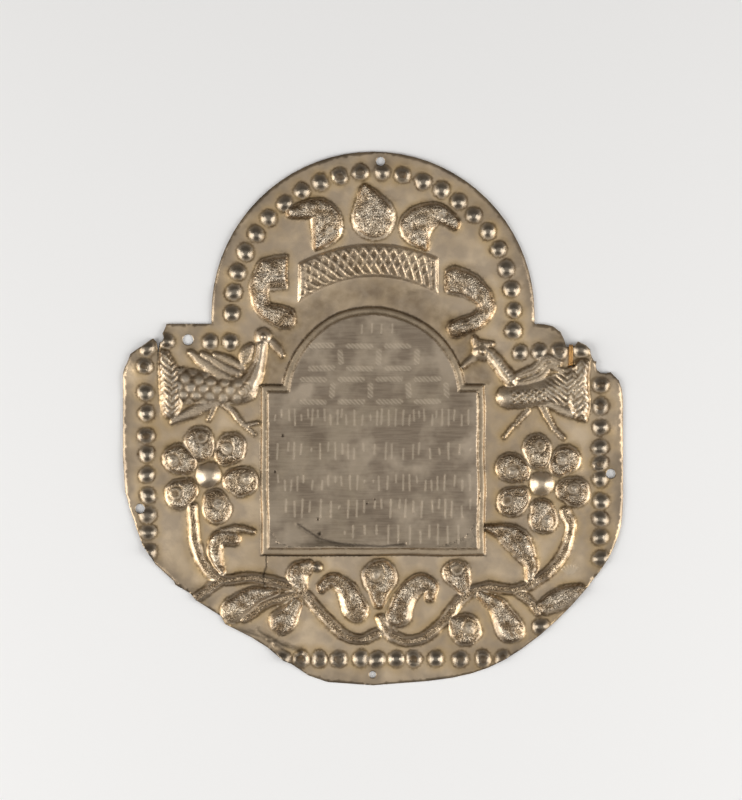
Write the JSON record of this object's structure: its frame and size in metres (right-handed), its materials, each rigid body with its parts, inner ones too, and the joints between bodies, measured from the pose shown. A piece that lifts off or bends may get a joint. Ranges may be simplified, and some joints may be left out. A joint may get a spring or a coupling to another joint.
{
  "type": "torah shield",
  "caption": "Hanging breastplate of thin silver with an arched top, a raised arched inscription panel, and chased crown, birds, flowers and vine.",
  "frame": {"origin": "centre of the object's box at its underside: the flat back of the sheet's field, as it lies on a table", "axes": "+X to the right of the shield as seen from the front, +Y up the shield towards its arch, +Z out of its face"},
  "size_m": [0.24, 0.256, 0.0046],
  "materials": {
    "silver": "worn hand-beaten silver, satin, with warm brown tarnish in the hollows",
    "wire": "dull golden wire"
  },
  "bodies": {
    "root": {"shield_sheet": "silver", "repair_wire": "wire"}
  },
  "joints": []
}
